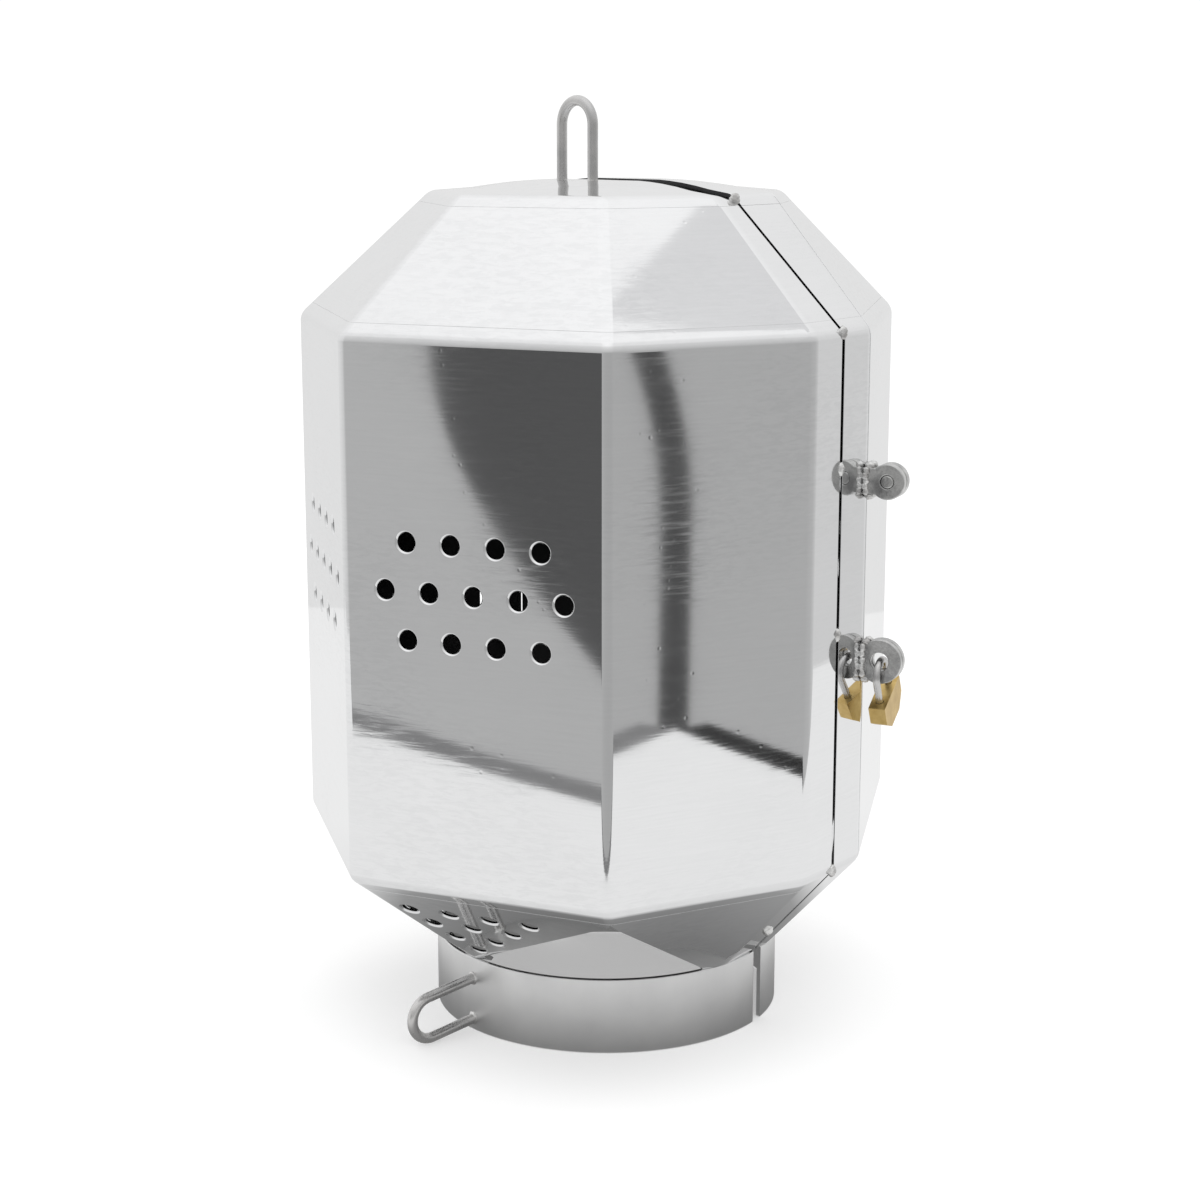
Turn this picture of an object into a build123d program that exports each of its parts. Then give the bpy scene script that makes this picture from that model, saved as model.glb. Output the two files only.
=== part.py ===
from build123d import *
import os
from math import cos, sin, radians, hypot

# A lockable steel head casing: a faceted shell on a round collar, split into a fixed front,
# an edge band tacked to it, and a rear door on two hinges, closed by a padlock.
# Millimetres. Z is up, -Y is the front, +X the lock side, and the collar stands on Z = 0.
# The parts are worked out about the casing's upright axis; at the end they are moved together
# so that the origin is under the middle of the whole.

# ---- casing, in plan -------------------------------------------------------------------
SIDES = 7                   # the plan is a heptagon with one corner at the front
CORNER_RADIUS = 119.0       # axis to a corner
CHAMFER_DEPTH = 9.15        # taken off the corner beside the parting gap
REAR_DEPTH = 127.5          # axis to the rear facet
SHEET = 1.5

# ---- levels ----------------------------------------------------------------------------
COLLAR_HEIGHT = 29.6
SKIRT_HEIGHT = 43.4
WALL_HEIGHT = 200.0
ROOF_HEIGHT = 47.8
CROWN_HEIGHT = 4.6

# ---- axis to facet, where the roof meets the cap ---------------------------------------
CAP_FRONT = 59.4
CAP_CHAMFER = 60.9
CAP_SIDE_REAR = 67.0
CAP_REAR = 66.0
CROWN_SHRINK = 0.45         # plan size of the crown's flat top, as a share of the cap

# ---- collar ----------------------------------------------------------------------------
COLLAR_RADIUS = 68.3
COLLAR_SHEET = 2.0
COLLAR_SETBACK = 5.0        # its axis stands behind the casing's
SEAT_OVERLAP = 0.8          # how far a skirt panel comes in over the collar's rim

# ---- parting lines ---------------------------------------------------------------------
GAP_WIDTH = 1.8             # open gap between the front and the edge band, down the chamfer
GAP_WIDTH_AT_COLLAR = 3.6
COLLAR_JOINT_SHARE = 0.4056 # of the collar's radius, from the casing's axis back to its joint
COLLAR_JOINT_WIDTH = 5.6
DOOR_CLEARANCE = 0.5        # round the door's edge, down the corner behind the chamfer

# ---- air holes -------------------------------------------------------------------------
HOLE_DIAMETER = 7.0
WALL_ROWS = (4, 5, 4)
WALL_HOLE_PITCH = 17.5
WALL_ROW_PITCH = 17.7
WALL_HOLES_BELOW_TOP = 89.5
CHIN_ROWS = (4, 3, 2, 1)
CHIN_HOLE_PITCH = 16.5
CHIN_ROW_PITCH = 11.4
CHIN_FIRST_ROW = 21.8       # down the slope from the wall
CHIN_HOLE_SHIFT = 11.5      # first row, toward the front corner
CHIN_ROW_LEAN = 3.1         # each further row, toward the front corner

# ---- openings under the side corners ---------------------------------------------------
OPENING_START = 6.0         # degrees round the collar from the front
OPENING_END = 82.0
OPENING_DROP = 6.0          # from the wall to the opening's upper point

# ---- wire loops ------------------------------------------------------------------------
WIRE_DIAMETER = 4.0
WELD_GAP = 0.05             # between a wire and the hole it is welded into
TOP_LOOP_SPACING = 18.0
TOP_LOOP_HEIGHT = 31.0      # above the crown, outside
TOP_LOOP_Y = -9.6
COLLAR_LOOP_SPACING = 16.5
COLLAR_LOOP_REACH = 31.0
COLLAR_LOOP_Z = 13.0
COLLAR_LOOP_DROOP = 7.0     # degrees
WIRE_TAIL = 4.0             # length of each leg behind the sheet's face

# ---- lugs, hinges ----------------------------------------------------------------------
LUG_CLEARANCE = 0.4
UPPER_LUG_HEIGHT = 145.0    # above the lower edge of the wall
UPPER_LUG_RADIUS = 6.6
UPPER_LUG_REACH = 8.4       # casing corner to the lug's centre
UPPER_LUG_THICKNESS = 3.4
PIN_RADIUS = 2.5
PIN_TIP_RADIUS = 1.0
PIN_TIP_LENGTH = 2.8
PIN_CLEARANCE = 0.25
LOWER_LUG_HEIGHT = 77.5
LOWER_LUG_RADIUS = 8.3
LOWER_LUG_REACH = 6.9
LOWER_LUG_THICKNESS = 2.6
LOWER_LUG_HOLE = 7.0
LUG_FOOT_SHARE = 0.75       # half height of a lug's foot, as a share of its radius
HINGE_HEIGHTS = (35.0, 165.0)
BARREL_RADIUS = 5.0
BARREL_LENGTH = 18.0
BARREL_STANDOFF = 0.3
BARREL_CLEARANCE = 0.5
HINGE_PIN_RADIUS = 2.5
HINGE_PIN_CLEARANCE = 0.05
HINGE_PIN_REACH = 14.0
LEAF_LENGTH = 16.0
LEAF_THICKNESS = 2.0
LEAF_START = 1.0

# ---- padlock ---------------------------------------------------------------------------
SHACKLE_DIAMETER = 2.7
SHACKLE_SPACING = 11.5
SHACKLE_BOW_DROP = 5.6      # lug hole's axis to the bow's centre
SHORT_LEG_IN_BODY = 4.5
LONG_LEG_IN_BODY = 8.0
SHACKLE_CLEARANCE = 0.15
LOCK_BODY_DROP = 13.8       # lug hole's axis to the top of the body
LOCK_BODY_WIDTH = 20.0
LOCK_BODY_HEIGHT = 12.5
LOCK_BODY_THICKNESS = 6.4
LOCK_BODY_CHAMFER = 5.0
LOCK_TILT = 28.0            # degrees, its front end down, as it has caught in the lugs
LOCK_SHIFT = 0.5            # bow's centre behind the middle of the lugs
LOCK_BORE_END = 0.6         # room beyond the end of each leg
PLUG_RADIUS = 2.4
PLUG_LENGTH = 8.5
PLUG_CLEARANCE = 0.08
KEYWAY = (0.9, 3.4, 7.0)

# ---- tack welds across the gap, as shares of the skirt, the wall and the roof upward ---
TACKS_ON_SKIRT = (0.33, 1.0)
TACKS_ON_WALL = (0.45, 0.755, 1.0)
TACKS_ON_ROOF = (0.955,)
TACK_LENGTH = 4.5
TACK_STANDS_OUT = 0.7

Z_COLLAR = COLLAR_HEIGHT
Z_WALL = Z_COLLAR + SKIRT_HEIGHT
Z_ROOF = Z_WALL + WALL_HEIGHT
Z_CAP = Z_ROOF + ROOF_HEIGHT
Z_CROWN = Z_CAP + CROWN_HEIGHT
LEVELS = (0.0, Z_COLLAR, Z_WALL, Z_ROOF, Z_CAP, Z_CROWN)
FAR = 3 * CORNER_RADIUS     # beyond every outline

# ---- plan geometry ---------------------------------------------------------------------
STEP = 360.0 / SIDES
CHIN, SIDE, CHAMFER, SIDE_REAR, REAR = STEP / 2, 1.5 * STEP, 2 * STEP, 2.5 * STEP, 180.0
AZIMUTHS = (-SIDE_REAR, -CHAMFER, -SIDE, -CHIN, CHIN, SIDE, CHAMFER, SIDE_REAR, REAR)
APOTHEM = CORNER_RADIUS * cos(radians(STEP / 2))
WALL_AT = {CHIN: APOTHEM, SIDE: APOTHEM, CHAMFER: CORNER_RADIUS - CHAMFER_DEPTH,
           SIDE_REAR: APOTHEM, REAR: REAR_DEPTH}
CAP_AT = {CHIN: CAP_FRONT, SIDE: CAP_FRONT, CHAMFER: CAP_CHAMFER,
          SIDE_REAR: CAP_SIDE_REAR, REAR: CAP_REAR}


def ray(azimuth, distance=1.0):
    """Plan point at a distance in a direction, in degrees from the front toward the lock."""
    return (distance * sin(radians(azimuth)), -distance * cos(radians(azimuth)))


def collar_seat(azimuth):
    """Axis to the skirt panel that leans on the collar's rim in this direction."""
    return COLLAR_RADIUS - COLLAR_SETBACK * cos(radians(azimuth)) - SEAT_OVERLAP


COLLAR_AT = {angle: collar_seat(angle) for angle in (SIDE, CHAMFER, SIDE_REAR, REAR)}
COLLAR_AT[CHIN] = (COLLAR_RADIUS - COLLAR_SETBACK) * cos(radians(CHIN))


def meet(first, second):
    """Plan point where two facet lines, each (azimuth, distance), cross."""
    (ax, ay), (bx, by) = ray(first[0]), ray(second[0])
    cross = ax * by - ay * bx
    return ((first[1] * by - second[1] * ay) / cross, (second[1] * ax - first[1] * bx) / cross)


def outline(distances):
    """Corners of the plan at one level, from the axis-to-facet distances."""
    lines = [(azimuth, distances[abs(azimuth)]) for azimuth in AZIMUTHS]
    return [meet(lines[i], lines[(i + 1) % len(lines)]) for i in range(len(lines))]


def corner(distances, first, second):
    """The corner between two named facets."""
    return meet((first, distances[abs(first)]), (second, distances[abs(second)]))


def shrunk(distances, amount):
    """Facet distances moved in, by one amount or by one for each facet."""
    return {key: value - (amount[key] if isinstance(amount, dict) else amount)
            for key, value in distances.items()}


def scaled(distances, share):
    return {key: value * share for key, value in distances.items()}


def frustum(low, z_low, high, z_high):
    """Flat-sided solid between two outlines with parallel edges."""
    bottom = [Vector(x, y, z_low) for x, y in outline(low)]
    top = [Vector(x, y, z_high) for x, y in outline(high)]
    count = len(bottom)
    loops = [bottom[::-1], top]
    loops += [[bottom[i], bottom[(i + 1) % count], top[(i + 1) % count], top[i]]
              for i in range(count)]
    solid = Solid(Shell([Face(Wire.make_polygon(loop, close=True)) for loop in loops]))
    return Part(solid.wrapped)


def slope_thickness(low, high, rise):
    """Level thickness of sheet lying on each sloping facet."""
    return {key: SHEET * hypot(low[key] - high[key], rise) / rise for key in low}


def sloping_shell(low, z_low, high, z_high):
    inset = slope_thickness(low, high, z_high - z_low)
    outer = frustum(low, z_low, high, z_high)
    return outer - frustum(shrunk(low, inset), z_low, shrunk(high, inset), z_high)


# ---- parting surfaces: distance behind the axis at each level --------------------------
def between_levels(values, z):
    """Straight-line value at height z, from one value for each level."""
    for i in range(len(LEVELS) - 1):
        if z <= LEVELS[i + 1]:
            share = (z - LEVELS[i]) / (LEVELS[i + 1] - LEVELS[i])
            return values[i] + share * (values[i + 1] - values[i])
    return values[-1]


GAP_AT_WALL, GAP_AT_CAP = ray(CHAMFER, WALL_AT[CHAMFER])[1], ray(CHAMFER, CAP_AT[CHAMFER])[1]
GAP_LINE = (GAP_AT_WALL,) * 4 + (GAP_AT_CAP,) * 2
GAP_HALF = (GAP_WIDTH_AT_COLLAR / 2,) * 2 + (GAP_WIDTH / 2,) * 4
DOOR_LINE = tuple(corner(table, CHAMFER, SIDE_REAR)[1] + DOOR_CLEARANCE / 2
                  for table in (COLLAR_AT, WALL_AT, CAP_AT) for _ in range(2))


def front_end(z):
    return between_levels(GAP_LINE, z) - between_levels(GAP_HALF, z)


def band_start(z):
    return between_levels(GAP_LINE, z) + between_levels(GAP_HALF, z)


def band_end(z):
    return between_levels(DOOR_LINE, z) - DOOR_CLEARANCE / 2


def door_start(z):
    return between_levels(DOOR_LINE, z) + DOOR_CLEARANCE / 2


def slab(start, end, z_low, z_high):
    """Everything between two parting surfaces, from one level to the next."""
    edge = [(start(z_low), z_low), (end(z_low), z_low), (end(z_high), z_high), (start(z_high), z_high)]
    return extrude(Plane.YZ * make_face(Polyline(*edge, close=True)), amount=FAR, both=True)


def far_front(z):
    return -FAR


def far_rear(z):
    return FAR


def prism(points, z_low, z_high):
    """Upright solid on a plan outline."""
    return extrude(Pos(0, 0, z_low) * make_face(Polyline(*points, close=True)), amount=z_high - z_low)


def half(side, z_low, z_high):
    """The lock side (+1) or the hinge side (-1)."""
    return Pos(side * FAR / 2, 0, (z_low + z_high) / 2) * Box(FAR, 2 * FAR, z_high - z_low)


def layers(shell, z_low, z_high):
    """A shell's front, edge band and door."""
    front = shell & slab(far_front, front_end, z_low, z_high)
    band = shell & slab(band_start, band_end, z_low, z_high)
    door = shell & slab(door_start, far_rear, z_low, z_high)
    return front, band, door


# ---- air holes -------------------------------------------------------------------------
def triangle_rows(rows, pitch, row_pitch):
    """Positions in staggered rows, from the first row on."""
    return [((i - (count - 1) / 2) * pitch, row * row_pitch)
            for row, count in enumerate(rows) for i in range(count)]


def drill(plane, points, diameter, depth):
    return [plane * Pos(u, v, 0) * Cylinder(diameter / 2, depth) for u, v in points]


def wall_holes(azimuth):
    x, y = ray(azimuth, APOTHEM)
    first_row = Z_ROOF - WALL_HOLES_BELOW_TOP - WALL_ROW_PITCH * (len(WALL_ROWS) - 1) / 2
    along = ray(azimuth + 90)
    plane = Plane((x, y, first_row), x_dir=(*along, 0), z_dir=(*ray(azimuth), 0))
    return drill(plane, triangle_rows(WALL_ROWS, WALL_HOLE_PITCH, WALL_ROW_PITCH), HOLE_DIAMETER, 8 * SHEET)


def chin_plane(side):
    """Lies on a chin panel: u along its upper edge away from the front, v down the slope."""
    azimuth = side * CHIN
    run = WALL_AT[CHIN] - COLLAR_AT[CHIN]
    length = hypot(run, SKIRT_HEIGHT)
    inward = ray(azimuth, -run / length)
    down = Vector(inward[0], inward[1], -SKIRT_HEIGHT / length)
    along = Vector(*ray(azimuth + side * 90), 0)
    return Plane((*ray(azimuth, APOTHEM), Z_WALL), x_dir=along, z_dir=along.cross(down))


def chin_holes(side):
    lean = CHIN_ROW_LEAN / CHIN_ROW_PITCH
    points = [(u - CHIN_HOLE_SHIFT - lean * v, CHIN_FIRST_ROW + v)
              for u, v in triangle_rows(CHIN_ROWS, CHIN_HOLE_PITCH, CHIN_ROW_PITCH)]
    return drill(chin_plane(side), points, HOLE_DIAMETER, 8 * SHEET)


# ---- casing ----------------------------------------------------------------------------
def opening(side):
    """Upright cutter for the triangle between a chin panel, a side panel and the collar."""
    def on_rim(angle):
        x, y = ray(side * angle, COLLAR_RADIUS)
        return (x, y + COLLAR_SETBACK)

    upper = corner(WALL_AT, side * CHIN, side * SIDE)
    lower = corner(COLLAR_AT, side * CHIN, side * SIDE)
    share = OPENING_DROP / SKIRT_HEIGHT
    point = tuple(a + share * (b - a) for a, b in zip(upper, lower))
    inner = ray(side * (OPENING_START + OPENING_END) / 2, COLLAR_RADIUS / 4)
    return prism([on_rim(OPENING_START), point, on_rim(OPENING_END), inner], Z_COLLAR, Z_WALL)


def chin_sector():
    """Upright cutter for the part of the skirt between the two side corners."""
    points = []
    for side in (1, -1):
        upper = corner(WALL_AT, side * CHIN, side * SIDE)
        lower = corner(COLLAR_AT, side * CHIN, side * SIDE)
        beyond = tuple(a + (a - b) for a, b in zip(upper, lower))
        points.append([lower, beyond, (side * FAR, beyond[1]), (side * FAR, -FAR)])
    return prism(points[0] + points[1][::-1], Z_COLLAR, Z_WALL)


def wall_nodes():
    outer = frustum(WALL_AT, Z_WALL, WALL_AT, Z_ROOF)
    inner = shrunk(WALL_AT, SHEET)
    front, band, door = layers(outer - frustum(inner, Z_WALL, inner, Z_ROOF), Z_WALL, Z_ROOF)
    front -= wall_holes(CHIN) + wall_holes(-CHIN)
    return {"front_wall": front, "door_wall": door, **both_sides("band_wall", band, Z_WALL, Z_ROOF)}


def both_sides(name, shape, z_low, z_high):
    return {name + "_lock_side": shape & half(1, z_low, z_high),
            name + "_hinge_side": shape & half(-1, z_low, z_high)}


def roof_nodes():
    shell = sloping_shell(WALL_AT, Z_ROOF, CAP_AT, Z_CAP)
    front, band, door = layers(shell, Z_ROOF, Z_CAP)
    return {"front_roof": front, "door_roof": door, **both_sides("band_roof", band, Z_ROOF, Z_CAP)}


def cap_nodes():
    crown = scaled(CAP_AT, 1 - CROWN_SHRINK)
    outer = frustum(CAP_AT, Z_CAP, crown, Z_CROWN)
    inner = Pos(0, 0, -SHEET) * outer
    front, band, door = layers(outer - inner, Z_CAP, Z_CROWN)
    front -= top_loop_legs(WIRE_DIAMETER / 2 + WELD_GAP)
    return {"front_cap": front, "band_cap": band, "door_cap": door}


def skirt_nodes():
    shell = sloping_shell(COLLAR_AT, Z_COLLAR, WALL_AT, Z_WALL)
    front, band, door = layers(shell, Z_COLLAR, Z_WALL)
    front = front - opening(1) - opening(-1)
    chin = (front & chin_sector()) - (chin_holes(1) + chin_holes(-1))
    sides = both_sides("side_skirt", front - chin_sector(), Z_COLLAR, Z_WALL)
    bands = both_sides("band_skirt", band, Z_COLLAR, Z_WALL)
    return {"chin_panel": chin, "door_skirt": door, **sides, **bands}


def collar_nodes():
    ring = Cylinder(COLLAR_RADIUS, COLLAR_HEIGHT) - Cylinder(COLLAR_RADIUS - COLLAR_SHEET, COLLAR_HEIGHT)
    ring = Pos(0, COLLAR_SETBACK, COLLAR_HEIGHT / 2) * ring
    joint, half_width = COLLAR_JOINT_SHARE * COLLAR_RADIUS, COLLAR_JOINT_WIDTH / 2
    front = ring & slab(far_front, lambda z: joint - half_width, 0, COLLAR_HEIGHT)
    door = ring & slab(lambda z: joint + half_width, far_rear, 0, COLLAR_HEIGHT)
    front -= collar_loop_legs(WIRE_DIAMETER / 2 + WELD_GAP)
    return {"front_collar": front, "door_collar": door}


# ---- wire loops ------------------------------------------------------------------------
def wire_loop(length, spacing, diameter):
    """A U of wire: legs from the plane's origin level along +Y, spaced along X."""
    reach = length - spacing / 2 - diameter / 2
    s = spacing / 2
    path = Line((-s, 0), (-s, reach)) + ThreePointArc((-s, reach), (0, reach + s), (s, reach))
    path += Line((s, reach), (s, 0))
    return sweep(Plane((-s, 0, 0), z_dir=(0, 1, 0)) * Circle(diameter / 2), path=path)


def two_legs(plane, spacing, radius, length):
    """Straight cutters where a loop's two legs pass through a sheet."""
    turned = Rot(90, 0, 0)
    return [plane * Pos(side * spacing / 2, 0, 0) * turned * Cylinder(radius, length) for side in (1, -1)]


def crown_height(y):
    """Height of the cap's outer face on the centre line, in front of the axis."""
    front_edge = CORNER_RADIUS * CAP_FRONT / APOTHEM
    share = (front_edge + y) / (front_edge * CROWN_SHRINK)
    return Z_CAP + CROWN_HEIGHT * min(1.0, share)


def top_loop_plane():
    return Plane((0, TOP_LOOP_Y, crown_height(TOP_LOOP_Y)), x_dir=(1, 0, 0), z_dir=(0, -1, 0))


def top_loop_legs(radius):
    return two_legs(top_loop_plane(), TOP_LOOP_SPACING, radius, 8 * SHEET)


def collar_loop_plane():
    """Upright plane along -Y, tipped down by the droop, with its origin on the collar's face."""
    down = radians(COLLAR_LOOP_DROOP)
    out = Vector(0, -cos(down), -sin(down))
    across = Vector(0, sin(down), -cos(down))
    return Plane((0, COLLAR_SETBACK - COLLAR_RADIUS, COLLAR_LOOP_Z), x_dir=across, z_dir=across.cross(out))


def collar_loop_legs(radius):
    return two_legs(collar_loop_plane(), COLLAR_LOOP_SPACING, radius, 8 * COLLAR_SHEET)


def loop_nodes():
    top = Pos(0, -WIRE_TAIL, 0) * wire_loop(TOP_LOOP_HEIGHT + WIRE_TAIL, TOP_LOOP_SPACING, WIRE_DIAMETER)
    low = Pos(0, -WIRE_TAIL, 0) * wire_loop(COLLAR_LOOP_REACH + WIRE_TAIL, COLLAR_LOOP_SPACING, WIRE_DIAMETER)
    return {"top_loop": top_loop_plane() * top, "collar_loop": collar_loop_plane() * low}


# ---- lugs on the corner behind the chamfer ---------------------------------------------
LUG_AZIMUTH = (CHAMFER + SIDE_REAR) / 2


def ridge_plane(side, height):
    """On the door's corner: X outward, Y up, Z toward the front along the lugs' axis."""
    x, y = corner(WALL_AT, side * CHAMFER, side * SIDE_REAR)
    outward = Vector(*ray(side * LUG_AZIMUTH), 0)
    return Plane((x, y, Z_WALL + height), x_dir=outward, z_dir=outward.cross(Vector(0, 0, 1)))


def lug(height, radius, reach, start, thickness):
    """A round lug on a straight foot that ends on the casing's face."""
    foot = Pos(reach / 2 - radius / 2, 0) * Rectangle(reach + radius, 2 * radius * LUG_FOOT_SHARE)
    shape = extrude(Pos(0, 0, start) * (Pos(reach, 0) * Circle(radius) + foot), amount=thickness)
    return ridge_plane(1, height) * shape - frustum(WALL_AT, Z_WALL, WALL_AT, Z_ROOF)


def lug_nodes():
    near = LUG_CLEARANCE / 2
    upper = (UPPER_LUG_HEIGHT, UPPER_LUG_RADIUS, UPPER_LUG_REACH)
    lower = (LOWER_LUG_HEIGHT, LOWER_LUG_RADIUS, LOWER_LUG_REACH)
    upper_axis = ridge_plane(1, UPPER_LUG_HEIGHT) * Pos(UPPER_LUG_REACH, 0, 0)
    lower_axis = ridge_plane(1, LOWER_LUG_HEIGHT) * Pos(LOWER_LUG_REACH, 0, 0)
    bar = Pos(0, 0, near + UPPER_LUG_THICKNESS / 2) * Cylinder(PIN_RADIUS, UPPER_LUG_THICKNESS)
    tip_z = near - PIN_TIP_LENGTH / 2
    tip = Pos(0, 0, tip_z) * Cone(PIN_TIP_RADIUS, PIN_RADIUS, PIN_TIP_LENGTH)
    socket = Pos(0, 0, tip_z) * Cone(PIN_TIP_RADIUS + PIN_CLEARANCE, PIN_RADIUS + PIN_CLEARANCE, PIN_TIP_LENGTH)
    socket += Pos(0, 0, -near - UPPER_LUG_THICKNESS / 2) * Cylinder(PIN_TIP_RADIUS + PIN_CLEARANCE, 2 * UPPER_LUG_THICKNESS)
    hole = Cylinder(LOWER_LUG_HOLE / 2, 8 * LOWER_LUG_THICKNESS)
    return {
        "upper_lug_front": lug(*upper, near, UPPER_LUG_THICKNESS) - upper_axis * bar,
        "upper_lug_door": lug(*upper, -near - UPPER_LUG_THICKNESS, UPPER_LUG_THICKNESS) - upper_axis * socket,
        "locating_pin": upper_axis * (bar + tip),
        "lower_lug_front": lug(*lower, near, LOWER_LUG_THICKNESS) - lower_axis * hole,
        "lower_lug_door": lug(*lower, -near - LOWER_LUG_THICKNESS, LOWER_LUG_THICKNESS) - lower_axis * hole,
    }


# ---- hinges on the other side ----------------------------------------------------------
BEND = (SIDE_REAR - CHAMFER) / 2
HINGE_REACH = (BARREL_RADIUS + BARREL_STANDOFF) / cos(radians(BEND))


def leaf(azimuth, direction, z_low, z_high):
    """A strap lying on one facet beside the hinge corner."""
    x, y = corner(WALL_AT, -CHAMFER, -SIDE_REAR)
    plane = Plane((x, y, z_low), x_dir=(*ray(azimuth + direction * 90), 0), z_dir=(*ray(azimuth), 0))
    middle = Pos(LEAF_START + LEAF_LENGTH / 2, direction * (z_high - z_low) / 2, LEAF_THICKNESS / 2)
    return plane * middle * Box(LEAF_LENGTH, z_high - z_low, LEAF_THICKNESS)


def hinge_nodes(index, height):
    x, y = corner(WALL_AT, -CHAMFER, -SIDE_REAR)
    out = ray(-LUG_AZIMUTH, HINGE_REACH)
    axis = Pos(x + out[0], y + out[1], Z_WALL + height)
    gap = BARREL_CLEARANCE / 2
    middle = gap + BARREL_LENGTH / 2
    z = Z_WALL + height
    lower = axis * Pos(0, 0, -middle) * Cylinder(BARREL_RADIUS, BARREL_LENGTH)
    upper = axis * Pos(0, 0, middle) * Cylinder(BARREL_RADIUS, BARREL_LENGTH)
    lower += leaf(-CHAMFER, 1, z - gap - BARREL_LENGTH, z - gap)
    upper += leaf(-SIDE_REAR, -1, z + gap, z + gap + BARREL_LENGTH)
    pin_length = BARREL_LENGTH + 2 * gap + HINGE_PIN_REACH
    pin = axis * Pos(0, 0, -gap - BARREL_LENGTH + pin_length / 2) * Cylinder(HINGE_PIN_RADIUS, pin_length)
    bore_length = HINGE_PIN_REACH + BARREL_CLEARANCE
    bore = axis * Pos(0, 0, gap + bore_length / 2) * Cylinder(HINGE_PIN_RADIUS + HINGE_PIN_CLEARANCE, bore_length)
    return {f"hinge_{index}_front_barrel": lower - pin, f"hinge_{index}_pin": pin,
            f"hinge_{index}_door_barrel": upper - bore}


# ---- tack welds ------------------------------------------------------------------------
def gap_face(z):
    """Distance from the middle to the casing's outer face at the gap, at height z."""
    def level(azimuth):
        steps = [table[azimuth] for table in (COLLAR_AT, COLLAR_AT, WALL_AT, WALL_AT, CAP_AT, CAP_AT)]
        return between_levels(steps, z)

    y = between_levels(GAP_LINE, z)
    reach = [(level(azimuth) + y * cos(radians(azimuth))) / sin(radians(azimuth))
             for azimuth in (CHAMFER, SIDE_REAR)]
    return min(reach)


def gap_filler(z_low, z_high):
    """Everything in the open gap between two heights."""
    stops = [z_low] + [z for z in LEVELS if z_low < z < z_high] + [z_high]
    layers_of_gap = [slab(front_end, band_start, a, b) for a, b in zip(stops, stops[1:])]
    return layers_of_gap[0] + layers_of_gap[1:]


def tack_nodes():
    """Short weld bridges that fill the gap between the front and the edge band."""
    depth = SHEET + TACK_STANDS_OUT
    heights = [Z_COLLAR + share * SKIRT_HEIGHT for share in TACKS_ON_SKIRT]
    heights += [Z_WALL + share * WALL_HEIGHT for share in TACKS_ON_WALL]
    heights += [Z_ROOF + share * ROOF_HEIGHT for share in TACKS_ON_ROOF]
    nodes = {}
    for side, name in ((1, "lock_side"), (-1, "hinge_side")):
        pieces = []
        for z in heights:
            x = side * (gap_face(z) + TACK_STANDS_OUT - depth / 2)
            span = Pos(x, 0, z) * Box(depth, 2 * FAR, TACK_LENGTH)
            pieces.append(gap_filler(z - TACK_LENGTH / 2, z + TACK_LENGTH / 2) & span)
        nodes["gap_tacks_" + name] = Compound(pieces)
    return nodes


# ---- padlock ---------------------------------------------------------------------------
def shackle():
    """In the lug's frame: the bow through the hole, legs down, the short leg in front."""
    s = SHACKLE_SPACING / 2
    bow = -SHACKLE_BOW_DROP
    short = -LOCK_BODY_DROP - SHORT_LEG_IN_BODY
    long = -LOCK_BODY_DROP - LONG_LEG_IN_BODY
    path = Line((s, short), (s, bow)) + ThreePointArc((s, bow), (0, bow + s), (-s, bow))
    path += Line((-s, bow), (-s, long))
    upright = Plane((0, 0, 0), x_dir=(0, 0, 1), z_dir=(-1, 0, 0))
    wire = sweep(Plane((s, short, 0), z_dir=(0, 1, 0)) * Circle(SHACKLE_DIAMETER / 2), path=path)
    return upright * wire


def lock_nodes():
    frame = ridge_plane(1, LOWER_LUG_HEIGHT) * Pos(LOWER_LUG_REACH, 0, 0)
    frame *= Pos(0, -SHACKLE_BOW_DROP, -LOCK_SHIFT) * Rot(LOCK_TILT, 0, 0) * Pos(0, SHACKLE_BOW_DROP, 0)
    top, s = -LOCK_BODY_DROP, SHACKLE_SPACING / 2
    body = Pos(0, top - LOCK_BODY_HEIGHT / 2, 0) * Box(LOCK_BODY_THICKNESS, LOCK_BODY_HEIGHT, LOCK_BODY_WIDTH)
    low_ends = body.edges().filter_by(Axis.X).group_by(Axis.Y)[0]
    body = chamfer(low_ends, LOCK_BODY_CHAMFER)
    along = Rot(90, 0, 0)
    for z, depth in ((s, SHORT_LEG_IN_BODY), (-s, LONG_LEG_IN_BODY)):
        length = depth + LOCK_BORE_END
        bore = Cylinder(SHACKLE_DIAMETER / 2 + SHACKLE_CLEARANCE, length)
        body -= Pos(0, top - length / 2, z) * along * bore
    foot = top - LOCK_BODY_HEIGHT
    plug = Pos(0, foot + PLUG_LENGTH / 2, 0) * along * Cylinder(PLUG_RADIUS, PLUG_LENGTH)
    room = PLUG_LENGTH + PLUG_CLEARANCE
    body -= Pos(0, foot + room / 2, 0) * along * Cylinder(PLUG_RADIUS + PLUG_CLEARANCE, room)
    width, height, depth = KEYWAY
    plug -= Pos(0, foot + depth / 2, 0) * Box(height, depth, width)
    return {"shackle": frame * shackle(), "padlock_body": frame * body, "key_plug": frame * plug}


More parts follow.
